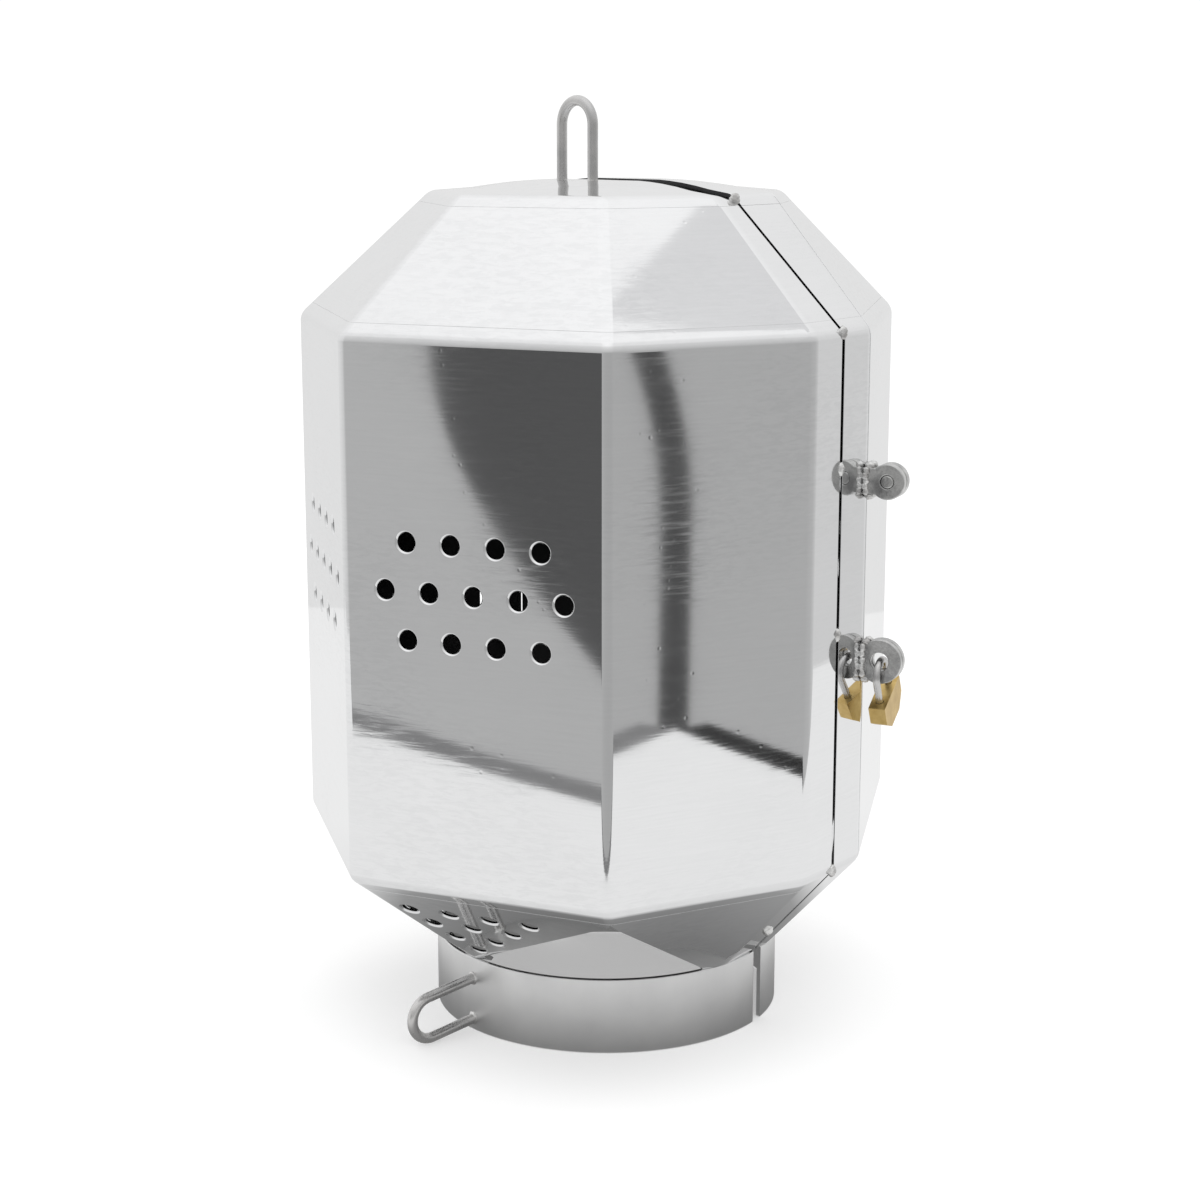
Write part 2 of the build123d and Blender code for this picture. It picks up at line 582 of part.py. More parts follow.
def main():
    nodes = {**wall_nodes(), **roof_nodes(), **cap_nodes(), **skirt_nodes(), **collar_nodes()}
    nodes.update({**loop_nodes(), **lug_nodes(), **tack_nodes(), **lock_nodes()})
    for index, height in enumerate(HINGE_HEIGHTS, start=1):
        nodes.update(hinge_nodes(index, height))
    whole = Compound(list(nodes.values())).bounding_box()
    under = Pos(-(whole.min.X + whole.max.X) / 2, -(whole.min.Y + whole.max.Y) / 2, 0)
    os.makedirs("parts", exist_ok=True)
    for name, shape in nodes.items():
        export_step(under * shape, f"parts/{name}.step")
        print(f"{name:28s} solids {len(shape.solids()):2d}  volume {shape.volume:10.1f}")


main()
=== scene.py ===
import bpy
import bmesh
from math import sin, cos, radians, pi
from mathutils import Vector, Matrix, noise


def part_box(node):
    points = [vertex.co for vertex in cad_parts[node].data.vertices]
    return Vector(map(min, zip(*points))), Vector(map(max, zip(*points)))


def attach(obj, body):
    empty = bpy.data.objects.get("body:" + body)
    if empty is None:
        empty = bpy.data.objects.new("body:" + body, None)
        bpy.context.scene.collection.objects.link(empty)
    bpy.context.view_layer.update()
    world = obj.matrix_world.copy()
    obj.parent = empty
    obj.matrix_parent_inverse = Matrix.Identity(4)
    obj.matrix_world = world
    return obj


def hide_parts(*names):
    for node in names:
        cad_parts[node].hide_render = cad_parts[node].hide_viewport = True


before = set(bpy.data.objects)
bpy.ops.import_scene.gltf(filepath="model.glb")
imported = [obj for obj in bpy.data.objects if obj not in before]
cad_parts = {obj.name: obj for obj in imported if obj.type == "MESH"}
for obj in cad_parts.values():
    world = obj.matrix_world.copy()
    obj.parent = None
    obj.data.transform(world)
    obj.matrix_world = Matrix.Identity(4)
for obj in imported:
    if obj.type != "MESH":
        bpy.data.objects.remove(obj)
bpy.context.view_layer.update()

# Lockable faceted steel casing. Meshes are worked in millimetres and scaled to metres when
# they become pieces. Z is up, -Y is the front, +X the lock side.
MM = 0.001

# ---- sizes of the casing ---------------------------------------------------------------
SHEET = 1.5
CAP_STEPS = ((7, 1.5), (8, 1.25), (8, 0.9), (8, 0.6), (8, 0.35))   # width and rise of the crown's rings
SINK, SINK_REACH, SINK_SHARES = 1.5, 16.0, (0.0, 0.4, 0.7)           # the front cap's dip along the gap
FOLD = 2.3                    # how far a fold's round reaches onto each facet
STEP = 360 / 7
CHIN, SIDE, CHAMFER, SIDE_REAR, REAR = STEP / 2, 1.5 * STEP, 2 * STEP, 2.5 * STEP, 180.0
AZIMUTHS = (-SIDE_REAR, -CHAMFER, -SIDE, -CHIN, CHIN, SIDE, CHAMFER, SIDE_REAR, REAR)
Z_COLLAR, Z_WALL, Z_ROOF, Z_CAP, Z_CROWN = 29.6, 73.0, 273.0, 320.8, 325.4
CORNER = 119.0
APOTHEM = CORNER * cos(radians(STEP / 2))
COLLAR_RADIUS, COLLAR_SHEET, COLLAR_BACK = 68.3, 2.0, 5.0
WALL_AT = {CHIN: APOTHEM, SIDE: APOTHEM, CHAMFER: 109.85, SIDE_REAR: APOTHEM, REAR: 127.5}
CAP_AT = {CHIN: 59.4, SIDE: 59.4, CHAMFER: 60.9, SIDE_REAR: 67.0, REAR: 66.0}
SEAT_AT = {a: COLLAR_RADIUS - COLLAR_BACK * cos(radians(a)) - 0.8 for a in (SIDE, CHAMFER, SIDE_REAR, REAR)}
SEAT_AT[CHIN] = (COLLAR_RADIUS - COLLAR_BACK) * cos(radians(CHIN))

FAR = 400.0
wall_low, wall_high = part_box("front_wall")
AXIS = Vector(((wall_low.x + wall_high.x) / 2, wall_low.y + CORNER * MM, 0))

# sheets are parted on flats, clear of the folds
SKIRT_TOP, ROOF_FOOT, CAP_FOOT = Z_WALL - 4.5, Z_ROOF + 4.5, Z_CAP - 4.0
SHEETS = (("skirt", Z_COLLAR, SKIRT_TOP), ("wall", SKIRT_TOP, ROOF_FOOT), ("roof", ROOF_FOOT, CAP_FOOT),
          ("cap", CAP_FOOT, FAR))
SIDES = ((1, "lock_side"), (-1, "hinge_side"))


def ray(azimuth, distance=1.0, z=0.0):
    return Vector((distance * sin(radians(azimuth)), -distance * cos(radians(azimuth)), z))


def meet(first, second):
    """Where two upright planes cross in plan, each given as (azimuth, distance)."""
    (a, da), (b, db) = first, second
    pa, pb = ray(a), ray(b)
    cross = pa.x * pb.y - pa.y * pb.x
    return Vector(((da * pb.y - db * pa.y) / cross, (db * pa.x - da * pb.x) / cross, 0))


# Parting lines, as distances behind the axis at each of the heights in BREAKS. The gap follows the
# middle of the chamfer, and the door starts at the corner behind it.
BREAKS = (Z_COLLAR, Z_WALL, Z_ROOF, Z_CAP)
GAP_HALF = (1.8, 0.9, 0.9, 0.9)
DOOR_GAP = 0.5
GAP_MIDDLE = [ray(CHAMFER, at[CHAMFER]).y for at in (WALL_AT, WALL_AT, WALL_AT, CAP_AT)]
FRONT_END = [middle - half for middle, half in zip(GAP_MIDDLE, GAP_HALF)]
BAND_START = [middle + half for middle, half in zip(GAP_MIDDLE, GAP_HALF)]
BAND_END = [meet((CHAMFER, at[CHAMFER]), (SIDE_REAR, at[SIDE_REAR])).y
            for at in (SEAT_AT, WALL_AT, WALL_AT, CAP_AT)]
DOOR_START = [y + DOOR_GAP for y in BAND_END]


def everything(bm):
    return bm.verts[:] + bm.edges[:] + bm.faces[:]


def cut(bm, point, normal, fill=False):
    """Clears what lies beyond a plane, on the side its normal points to."""
    result = bmesh.ops.bisect_plane(bm, geom=everything(bm), dist=1e-4, plane_co=point,
                                    plane_no=normal, clear_outer=True)
    edges = [e for e in result["geom_cut"] if isinstance(e, bmesh.types.BMEdge)]
    if fill and edges:
        bmesh.ops.contextual_create(bm, geom=edges)


def absorb(whole, bm):
    """Adds a finished mesh to another and frees it."""
    scratch = bpy.data.meshes.new("scratch")
    bm.to_mesh(scratch)
    bm.free()
    whole.from_mesh(scratch)
    bpy.data.meshes.remove(scratch)


def slope_plane(azimuth, low, z_low, high, z_high):
    """Point and outward normal of a facet through two distances at two heights."""
    out = ray(azimuth) * (z_high - z_low)
    return ray(azimuth, low, z_low), (out + Vector((0, 0, low - high))).normalized()


def casing_block():
    """The casing's outside as one closed block with rounded folds and a crowned cap."""
    bm = bmesh.new()
    bmesh.ops.create_cube(bm, size=2 * FAR)
    for azimuth in AZIMUTHS:
        key = abs(azimuth)
        cut(bm, ray(azimuth, WALL_AT[key]), ray(azimuth), True)
        cut(bm, *slope_plane(azimuth, WALL_AT[key], Z_ROOF, CAP_AT[key], Z_CAP), True)
        cut(bm, *slope_plane(azimuth, SEAT_AT[key], Z_COLLAR, WALL_AT[key], Z_WALL), True)
    cut(bm, Vector((0, 0, Z_CAP)), Vector((0, 0, 1)), True)
    cut(bm, Vector((0, 0, Z_COLLAR)), Vector((0, 0, -1)), True)
    bmesh.ops.remove_doubles(bm, verts=bm.verts[:], dist=0.01)
    top = [f for f in bm.faces if f.normal.z > 0.99]
    for width, rise in CAP_STEPS:
        bmesh.ops.inset_individual(bm, faces=top, thickness=width, depth=rise, use_even_offset=True)
    inner = [v for v in bm.verts if v.co.z > Z_CAP + 0.1]
    for _ in range(3):
        bmesh.ops.smooth_vert(bm, verts=inner, factor=0.4, use_axis_x=True, use_axis_y=True, use_axis_z=True)
    bm.normal_update()
    folds = [e for e in bm.edges
             if e.calc_face_angle(0) > radians(18) and max(v.co.z for v in e.verts) > Z_COLLAR + 0.1]
    bmesh.ops.bevel(bm, geom=folds, offset=FOLD, offset_type="OFFSET", segments=5, profile=0.5,
                    affect="EDGES", material=-1, clamp_overlap=True)
    bottom = [f for f in bm.faces if f.normal.z < -0.99]
    bmesh.ops.delete(bm, geom=bottom, context="FACES")
    return bm


def between(values, z):
    for i in range(len(BREAKS) - 1):
        if z <= BREAKS[i + 1]:
            share = (z - BREAKS[i]) / (BREAKS[i + 1] - BREAKS[i])
            return values[i] + share * (values[i + 1] - values[i])
    return values[-1]


def lean_cut(bm, values, z_low, z_high, sign):
    """Clears what is behind (+1) or in front of (-1) a parting line between two heights."""
    low, high = between(values, z_low), between(values, z_high)
    normal = Vector((0, z_high - z_low, low - high)).normalized() * sign
    cut(bm, Vector((0, low, z_low)), normal)


def portion(block, z_low, z_high, start=None, end=None, side=0):
    """Part of the block between two heights and two parting lines, welded into one surface."""
    whole = bmesh.new()
    stops = [z_low] + [z for z in BREAKS if z_low < z < z_high] + [z_high]
    for low, high in zip(stops, stops[1:]):
        bm = block.copy()
        cut(bm, Vector((0, 0, low)), Vector((0, 0, -1)))
        cut(bm, Vector((0, 0, high)), Vector((0, 0, 1)))
        if start:
            lean_cut(bm, start, low, high, -1)
        if end:
            lean_cut(bm, end, low, high, 1)
        if side:
            cut(bm, Vector((0, 0, 0)), Vector((-side, 0, 0)))
        absorb(whole, bm)
    bmesh.ops.remove_doubles(whole, verts=whole.verts[:], dist=0.002)
    return whole


# ---- turning meshes into pieces --------------------------------------------------------
def new_object(name, bm, materials, smooth=True):
    """An object from a mesh in millimetres about the casing's axis."""
    mesh = bpy.data.meshes.new(name)
    bmesh.ops.transform(bm, matrix=Matrix.Translation(AXIS) @ Matrix.Scale(MM, 4), verts=bm.verts[:])
    bm.to_mesh(mesh)
    bm.free()
    for polygon in mesh.polygons:
        polygon.use_smooth = smooth
    for material in materials:
        mesh.materials.append(material)
    obj = bpy.data.objects.new(name, mesh)
    bpy.context.collection.objects.link(obj)
    return obj


def apply_modifiers(obj):
    settled = bpy.data.meshes.new_from_object(obj.evaluated_get(bpy.context.evaluated_depsgraph_get()))
    old = obj.data
    obj.modifiers.clear()
    obj.data = settled
    bpy.data.meshes.remove(old)
    settled.name = obj.name


def drill(obj, cutter):
    modifier = obj.modifiers.new("holes", "BOOLEAN")
    modifier.operation, modifier.solver, modifier.object = "DIFFERENCE", "EXACT", cutter


def round_edges(obj, width, segments=2, angle=38):
    modifier = obj.modifiers.new("edges", "BEVEL")
    modifier.width, modifier.segments = width * MM, segments
    modifier.limit_method, modifier.angle_limit = "ANGLE", radians(angle)
    modifier.use_clamp_overlap = True
    normals = obj.modifiers.new("normals", "WEIGHTED_NORMAL")
    normals.weight, normals.keep_sharp = 50, True


def stand_for(obj, nodes, body):
    if nodes:
        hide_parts(*nodes)
    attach(obj, body)


def skin(name, bm, nodes, body, cutters=(), rim=0.12):
    obj = new_object(name, bm, (polished, inside, polished))
    wall = obj.modifiers.new("sheet", "SOLIDIFY")
    wall.thickness, wall.offset, wall.use_even_offset = SHEET * MM, -1, True
    wall.material_offset, wall.material_offset_rim = 1, 2
    for cutter in cutters:
        drill(obj, cutter)
    if cutters:
        apply_modifiers(obj)
    round_edges(obj, rim)
    stand_for(obj, nodes, body)
    return obj


def cad_copy(node):
    """A CAD node's shape as a welded mesh in millimetres about the casing's axis."""
    bm = bmesh.new()
    bm.from_mesh(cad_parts[node].data)
    bmesh.ops.transform(bm, matrix=Matrix.Scale(1 / MM, 4) @ Matrix.Translation(-AXIS), verts=bm.verts[:])
    bmesh.ops.remove_doubles(bm, verts=bm.verts[:], dist=0.002)
    bmesh.ops.dissolve_limit(bm, angle_limit=radians(1), verts=bm.verts[:], edges=bm.edges[:])
    return bm


def refined(node, body, material, width=0.5, segments=3):
    """A CAD node remade with rounded edges."""
    obj = new_object(node + "_finished", cad_copy(node), (material,))
    round_edges(obj, width, segments, 30)
    stand_for(obj, [node], body)
    return obj


# ---- shader helpers --------------------------------------------------------------------
class Signal:
    """A node's output socket; sums on it add Math nodes."""
    def __init__(self, finish, socket):
        self.finish, self.socket = finish, socket

    def math(self, operation, *others):
        return self.finish.node("ShaderNodeMath", {"operation": operation}, dict(enumerate(others)))

    def __add__(self, other):
        return self.math("ADD", self, other)

    def __sub__(self, other):
        return self.math("SUBTRACT", self, other)

    def __rsub__(self, other):
        return self.math("SUBTRACT", other, self)

    def __mul__(self, other):
        return self.math("MULTIPLY", self, other)

    __radd__, __rmul__ = __add__, __mul__


class Finish:
    """A node material, or the world, built one node at a time."""
    def __init__(self, name, owner=None):
        self.owner = owner or bpy.data.materials.new(name)
        self.owner.use_nodes = True
        self.tree = self.owner.node_tree
        self.tree.nodes.clear()

    def node(self, kind, settings=(), inputs=(), output=0):
        made = self.tree.nodes.new(kind)
        for key, value in dict(settings).items():
            if key == "stops":
                ramp = made.color_ramp
                while len(ramp.elements) < len(value):
                    ramp.elements.new(0.5)
                for element, (position, level) in zip(ramp.elements, value):
                    element.position = position
                    element.color = (*((level,) * 3 if isinstance(level, (int, float)) else level), 1)
            else:
                setattr(made, key, value)
        for key, value in dict(inputs).items():
            socket = made.inputs[key]
            if isinstance(value, Signal):
                self.tree.links.new(value.socket, socket)
            elif value is not None:
                socket.default_value = value
        return Signal(self, made.outputs[output]) if made.outputs else made

    def place(self, scale=(1, 1, 1), turn=(0, 0, 0)):
        where = self.node("ShaderNodeTexCoord", output=3)
        return self.node("ShaderNodeMapping", {}, {"Vector": where, "Scale": scale, "Rotation": turn})

    def noise(self, scale, stretch=(1, 1, 1), turn=(0, 0, 0), detail=3.0, rough=0.5, distortion=0.0):
        return self.node("ShaderNodeTexNoise", {}, {"Vector": self.place(stretch, turn), "Scale": scale,
                         "Detail": detail, "Roughness": rough, "Distortion": distortion})

    def ramp(self, signal, *stops):
        return self.node("ShaderNodeValToRGB", {"stops": stops}, {0: signal})

    def bump(self, height, distance, strength=1.0, below=None):
        return self.node("ShaderNodeBump", {}, {"Height": height, "Distance": distance,
                         "Strength": strength, "Normal": below})

    def surface(self, color, roughness, metallic=1.0, normal=None, **constants):
        inputs = {"Base Color": color, "Roughness": roughness, "Metallic": metallic, "Normal": normal}
        inputs.update({key.replace("_", " "): value for key, value in constants.items()})
        shader = self.node("ShaderNodeBsdfPrincipled", {}, inputs)
        self.node("ShaderNodeOutputMaterial", {}, {"Surface": shader})
        return self.owner


def polished_steel():
    f = Finish("polished_steel")
    broad = f.noise(7.0, (1, 1, 0.7), detail=1.0)
    ripple = f.noise(52.0, (0.55, 0.55, 1.6), detail=2.0, distortion=0.4)
    patch = f.ramp(f.noise(11.0, detail=2.0), (0.46, 0.15), (0.62, 1.0))
    streak = f.noise(230.0, (0.25, 0.25, 3.0), detail=2.0, rough=0.6)
    dash = f.ramp(streak, (0.50, 0.0), (0.70, 1.0))
    scratch = f.noise(1100.0, (0.05, 0.05, 1.0), (0.0, 0.12, 0.0), detail=2.0)
    pit = f.ramp(f.node("ShaderNodeTexVoronoi", {}, {"Vector": f.place(), "Scale": 190.0, "Randomness": 1.0}),
                 (0.05, 0.0), (0.16, 1.0))
    haze = f.noise(16.0, (1, 1, 1.6), detail=4.0, rough=0.6)
    normal = f.bump(broad, 0.0006, 0.6)
    normal = f.bump(ripple * patch, 0.000016, 0.7, normal)
    normal = f.bump(dash * patch, 0.0000025, 0.7, normal)
    normal = f.bump(scratch, 0.0000025, 0.5, normal)
    normal = f.bump(pit, 0.000005, 0.4, normal)
    dents = f.noise(420.0, (0.4, 0.4, 1.6), detail=2.0, rough=0.6, distortion=0.5)
    hammer = f.ramp(dents, (0.42, 0.0), (0.62, 1.0))
    grind = f.noise(1400.0, (0.03, 0.03, 1.0), (0.0, 0.12, 0.0), detail=1.0)
    shade = hammer * patch * 0.30 + grind * 0.25 + haze * 0.45
    color = f.ramp(shade, (0.15, (0.875, 0.878, 0.882)), (0.95, (0.765, 0.77, 0.775)))
    return f.surface(color, haze * 0.06 + dash * patch * 0.04 + 0.015, 1.0, normal)


def satin_steel():
    f = Finish("satin_steel")
    grain = f.noise(700.0, (1, 1, 0.06), detail=3.0)
    cloud = f.noise(40.0, detail=3.0)
    normal = f.bump(grain, 0.00004, 0.6)
    normal = f.bump(cloud, 0.0003, 0.4, normal)
    color = f.ramp(cloud, (0.3, (0.76, 0.76, 0.76)), (0.7, (0.86, 0.86, 0.855)))
    return f.surface(color, grain * 0.12 + 0.32, 1.0, normal)


def plain_steel():
    f = Finish("plain_steel")
    grain = f.noise(500.0, (0.2, 1, 1), detail=3.0)
    cloud = f.noise(120.0, detail=4.0, rough=0.6)
    normal = f.bump(cloud, 0.0006, 0.6, f.bump(grain, 0.00003, 0.6))
    color = f.ramp(cloud, (0.32, (0.30, 0.30, 0.30)), (0.60, (0.62, 0.62, 0.61)))
    return f.surface(color, cloud * 0.16 + 0.16, 1.0, normal)


def wire_steel():
    f = Finish("wire_steel")
    cloud = f.noise(90.0, detail=3.0)
    drawn = f.noise(900.0, (1.0, 1.0, 0.05), detail=2.0)
    color = f.ramp(cloud, (0.30, (0.70, 0.69, 0.68)), (0.75, (0.50, 0.50, 0.50)))
    return f.surface(color, drawn * 0.12 + 0.22, 1.0, f.bump(cloud, 0.0002, 0.4))


def weld_steel():
    f = Finish("weld_steel")
    lump = f.noise(420.0, detail=4.0, rough=0.65)
    tint = f.noise(150.0, detail=2.0)
    normal = f.bump(lump, 0.0006, 0.8)
    color = f.ramp(tint, (0.35, (0.52, 0.51, 0.50)), (0.6, (0.86, 0.86, 0.85)))
    return f.surface(color, lump * 0.3 + 0.18, 1.0, normal)


def dark_inside():
    f = Finish("dark_inside")
    cloud = f.noise(30.0, detail=4.0, rough=0.6)
    grain = f.noise(600.0, (1, 1, 0.1), detail=2.0)
    color = f.ramp(cloud, (0.3, (0.030, 0.030, 0.032)), (0.7, (0.060, 0.060, 0.062)))
    return f.surface(color, cloud * 0.15 + 0.5, 0.6, f.bump(grain, 0.00005, 0.5))


def brass():
    f = Finish("brass")
    grain = f.noise(800.0, (1, 0.3, 0.05), detail=3.0)
    cloud = f.noise(160.0, detail=4.0, rough=0.6)
    normal = f.bump(grain, 0.00003, 0.6)
    color = f.ramp(cloud, (0.3, (0.50, 0.33, 0.10)), (0.7, (0.72, 0.53, 0.22)))
    return f.surface(color, cloud * 0.14 + grain * 0.08 + 0.2, 1.0, normal)


polished, satin, plain = polished_steel(), satin_steel(), plain_steel()
weld, inside, brassy, wire = weld_steel(), dark_inside(), brass(), wire_steel()

# ---- cutters ---------------------------------------------------------------------------
HOLE = 7.0
WALL_ROWS, WALL_PITCH, WALL_ROW_PITCH = (4, 5, 4), 17.5, 17.7
WALL_ROWS_BELOW_ROOF = 89.5
CHIN_ROWS, CHIN_PITCH, CHIN_ROW_PITCH = (4, 3, 2, 1), 16.5, 11.4
CHIN_ROWS_BELOW_WALL, CHIN_SHIFT, CHIN_LEAN = 21.8, 11.5, 3.1
DRILL_SECTION = ((0, -6), (HOLE / 2, -6), (HOLE / 2, -0.6), (HOLE / 2 + 0.75, 0.1),
                 (HOLE / 2 + 1.4, 6), (0, 6))
JAW_FRONT, JAW_REAR, JAW_INNER = 6, 82, 44       # azimuths of the opening's corners on the collar
JAW_TIP_DROP, JAW_FOOT_DROP, JAW_HEIGHT = 6.0, 6.0, 60     # tip below the wall's fold, foot below the collar


def staggered(rows, pitch, row_pitch):
    return [((i - (count - 1) / 2) * pitch, row * row_pitch)
            for row, count in enumerate(rows) for i in range(count)]


def flared_drill():
    """A drill's outline spun round Z: straight below the surface, flared where it leaves it."""
    bm = bmesh.new()
    outline = [bm.verts.new((x, 0, z)) for x, z in DRILL_SECTION]
    edges = [bm.edges.new(pair) for pair in zip(outline, outline[1:])]
    bmesh.ops.spin(bm, geom=edges, cent=(0, 0, 0), axis=(0, 0, 1), angle=2 * pi, steps=40, use_merge=True)
    bmesh.ops.remove_doubles(bm, verts=bm.verts[:], dist=0.001)
    bmesh.ops.recalc_face_normals(bm, faces=bm.faces[:])
    return bm


def drill_set(name, placements):
    whole = bmesh.new()
    for matrix in placements:
        one = flared_drill()
        bmesh.ops.transform(one, matrix=matrix, verts=one.verts[:])
        absorb(whole, one)
    return new_object(name, whole, (polished,))


def on_plane(origin, along, out, u, v):
    """Matrix at a place on a plane, with its Z along the plane's outward normal."""
    up = out.cross(along)
    turn = Matrix((along, up, out)).transposed().to_4x4()
    return Matrix.Translation(origin + along * u + up * v) @ turn


def wall_drills():
    first = Z_ROOF - WALL_ROWS_BELOW_ROOF - WALL_ROW_PITCH
    places = []
    for side in (1, -1):
        along, out = ray(side * CHIN + 90), ray(side * CHIN)
        origin = out * APOTHEM + Vector((0, 0, first))
        for u, v in staggered(WALL_ROWS, WALL_PITCH, WALL_ROW_PITCH):
            places.append(on_plane(origin, along, out, u, v))
    return drill_set("wall_drills", places)


def chin_drills():
    places = []
    for side in (1, -1):
        out = slope_plane(side * CHIN, SEAT_AT[CHIN], Z_COLLAR, WALL_AT[CHIN], Z_WALL)[1]
        origin = ray(side * CHIN, APOTHEM, Z_WALL)
        along = ray(side * CHIN + 90)
        for u, v in staggered(CHIN_ROWS, CHIN_PITCH, CHIN_ROW_PITCH):
            across = side * (u - CHIN_SHIFT - CHIN_LEAN / CHIN_ROW_PITCH * v)
            places.append(on_plane(origin, along, out, across, -(CHIN_ROWS_BELOW_WALL + v)))
    return drill_set("chin_drills", places)


def jaw_cutter(side):
    """Cuts one half of the opening between the chin, the side skirt and the collar."""
    def on_rim(angle):
        return ray(side * angle, COLLAR_RADIUS) + Vector((0, COLLAR_BACK, 0))

    upper = meet((side * CHIN, WALL_AT[CHIN]), (side * SIDE, WALL_AT[SIDE]))
    lower = meet((side * CHIN, SEAT_AT[CHIN]), (side * SIDE, SEAT_AT[SIDE]))
    point = upper.lerp(lower, JAW_TIP_DROP / (Z_WALL - Z_COLLAR))
    bm = bmesh.new()
    corners = [on_rim(JAW_FRONT), point, on_rim(JAW_REAR), ray(side * JAW_INNER, COLLAR_RADIUS / 4)]
    face = bm.faces.new([bm.verts.new(p + Vector((0, 0, Z_COLLAR - JAW_FOOT_DROP))) for p in corners])
    raised = bmesh.ops.extrude_face_region(bm, geom=[face])["geom"]
    top = [v for v in raised if isinstance(v, bmesh.types.BMVert)]
    bmesh.ops.translate(bm, vec=(0, 0, JAW_HEIGHT), verts=top)
    bmesh.ops.recalc_face_normals(bm, faces=bm.faces[:])
    return new_object("jaw_cutter", bm, (polished,))


# ---- casing ----------------------------------------------------------------------------
block = casing_block()
wall_cutter, chin_cutter = wall_drills(), chin_drills()
jaw_cutters = [jaw_cutter(1), jaw_cutter(-1)]

skin("front_wall_skin", portion(block, SKIRT_TOP, ROOF_FOOT, end=FRONT_END), ["front_wall"], "front",
     [wall_cutter])
skin("front_roof_skin", portion(block, ROOF_FOOT, CAP_FOOT, end=FRONT_END), ["front_roof"], "front")
cap = portion(block, CAP_FOOT, FAR, end=FRONT_END)
for share in SINK_SHARES:
    bmesh.ops.bisect_plane(cap, geom=everything(cap), dist=1e-4, plane_no=(0, 1, 0),
                           plane_co=(0, FRONT_END[-1] - SINK_REACH * (1 - share), 0))
for vert in cap.verts:
    share = min(max((vert.co.y - FRONT_END[-1]) / SINK_REACH + 1, 0), 1)
    vert.co.z -= SINK * share ** 2 * min(max((vert.co.z - CAP_FOOT) / 4, 0), 1)
skin("front_cap_skin", cap, ["front_cap"], "front")

chin = portion(block, Z_COLLAR, SKIRT_TOP, end=FRONT_END)
flanks = chin.copy()
ridge_foot = meet((CHIN, SEAT_AT[CHIN]), (SIDE, SEAT_AT[SIDE]))
ridge = meet((CHIN, WALL_AT[CHIN]), (SIDE, WALL_AT[SIDE])) - ridge_foot
for side, word in SIDES:
    foot = Vector((side * ridge_foot.x, ridge_foot.y, 0))
    normal = Vector((side * -ridge.y, ridge.x, 0)).normalized()
    flank = flanks.copy()
    cut(chin, foot, normal)
    cut(flank, foot, -normal)
    node = "side_skirt_" + word
    skin(node + "_skin", flank, [node], "front", jaw_cutters)
skin("chin_skin", chin, ["chin_panel"], "front", jaw_cutters + [chin_cutter])
flanks.free()

for side, word in SIDES:
    for part, low, high in SHEETS[:-1]:
        node = f"band_{part}_{word}"
        skin(node + "_skin", portion(block, low, high, BAND_START, BAND_END, side), [node], "front")
band_cap = skin("band_cap_skin", portion(block, CAP_FOOT, FAR, BAND_START, BAND_END), ["band_cap"], "front")
# painted shade: the band cap's cut edges take the near-black inside material, so the slit along the crest
# reads dark
band_cap.data.materials[2] = inside
for part, low, high in SHEETS:
    skin(f"door_{part}_skin", portion(block, low, high, DOOR_START), [f"door_{part}"], "door")
block.free()
for cutter in [wall_cutter, chin_cutter] + jaw_cutters:
    bpy.data.objects.remove(cutter)


# ---- collar ----------------------------------------------------------------------------
COLLAR_FRONT_END, COLLAR_DOOR_START = 24.9, 30.5


def collar_ring():
    """Section spun round the collar's axis, with rounded rims."""
    bm = bmesh.new()
    inner = COLLAR_RADIUS - COLLAR_SHEET
    face = bm.faces.new([bm.verts.new((x, COLLAR_BACK, z)) for x, z in
                         ((inner, 0), (COLLAR_RADIUS, 0), (COLLAR_RADIUS, Z_COLLAR), (inner, Z_COLLAR))])
    bmesh.ops.bevel(bm, geom=face.verts[:], offset=0.6, offset_type="OFFSET", segments=3, profile=0.5,
                    affect="VERTICES", material=-1)
    section = bm.edges[:]
    bmesh.ops.delete(bm, geom=bm.faces[:], context="FACES_ONLY")
    bmesh.ops.spin(bm, geom=section, cent=(0, COLLAR_BACK, 0), axis=(0, 0, 1), angle=2 * pi, steps=144,
                   use_merge=True)
    bmesh.ops.remove_doubles(bm, verts=bm.verts[:], dist=0.001)
    bmesh.ops.recalc_face_normals(bm, faces=bm.faces[:])
    return bm


for name, point, sign, body in (("front_collar", COLLAR_FRONT_END, 1, "front"),
                                ("door_collar", COLLAR_DOOR_START, -1, "door")):
    ring = collar_ring()
    cut(ring, Vector((0, point, 0)), Vector((0, sign, 0)))
    bmesh.ops.holes_fill(ring, edges=[e for e in ring.edges if e.is_boundary])
    bmesh.ops.recalc_face_normals(ring, faces=ring.faces[:])
    obj = new_object(name + "_ring", ring, (satin,))
    round_edges(obj, 0.4)
    stand_for(obj, [name], body)

# ---- fittings --------------------------------------------------------------------------
for node, material in (("top_loop", wire), ("collar_loop", wire), ("shackle", wire), ("key_plug", brassy),
                       ("hinge_1_pin", plain), ("hinge_2_pin", plain)):
    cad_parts[node].material_slots[0].material = material
for node, body in (("upper_lug_front", "front"), ("upper_lug_door", "door"), ("lower_lug_front", "front"),
                   ("lower_lug_door", "door"), ("locating_pin", "front")):
    refined(node, body, plain, 0.7)
for i in (1, 2):
    refined(f"hinge_{i}_front_barrel", "front", plain, 0.5)
    refined(f"hinge_{i}_door_barrel", "door", plain, 0.5)
refined("padlock_body", "lock_body", brassy, 0.8)


